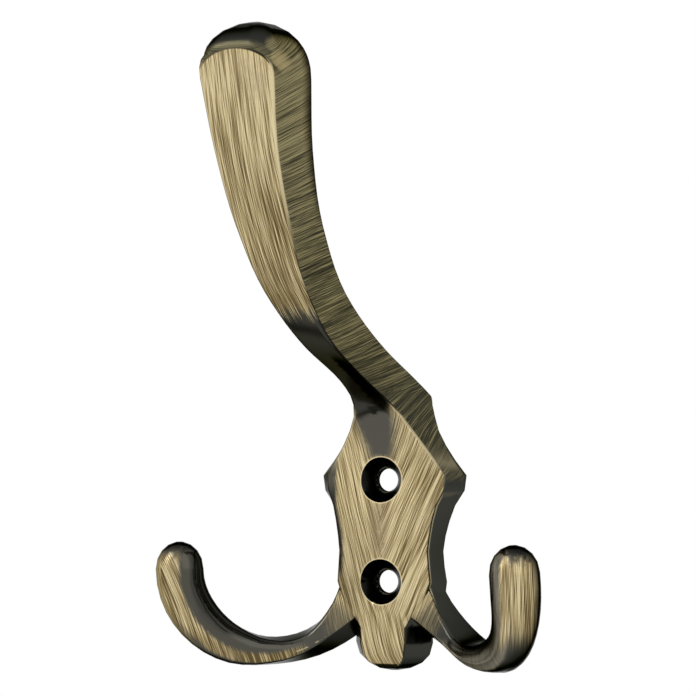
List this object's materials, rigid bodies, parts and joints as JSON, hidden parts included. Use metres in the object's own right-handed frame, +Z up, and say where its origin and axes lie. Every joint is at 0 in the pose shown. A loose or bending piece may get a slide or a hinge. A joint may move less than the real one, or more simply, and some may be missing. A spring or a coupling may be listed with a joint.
{
  "type": "triple coat hook",
  "caption": "One-piece cast wall hook: a long curved upper arm with a broad rounded end, a small pair of upturned side hooks and a crowned plate with countersunk screw holes.",
  "frame": {"origin": "on the wall face, midway between the two screw holes", "axes": "+X to the right as seen from the room, +Y into the wall, +Z up; the hook comes out along -Y"},
  "size_m": [0.0816, 0.0664, 0.1211],
  "materials": {
    "antique_brass": "brushed antique brass plating over a zinc casting, dark in the recesses"
  },
  "bodies": {
    "root": {"coat_hook": "antique_brass"}
  },
  "joints": []
}
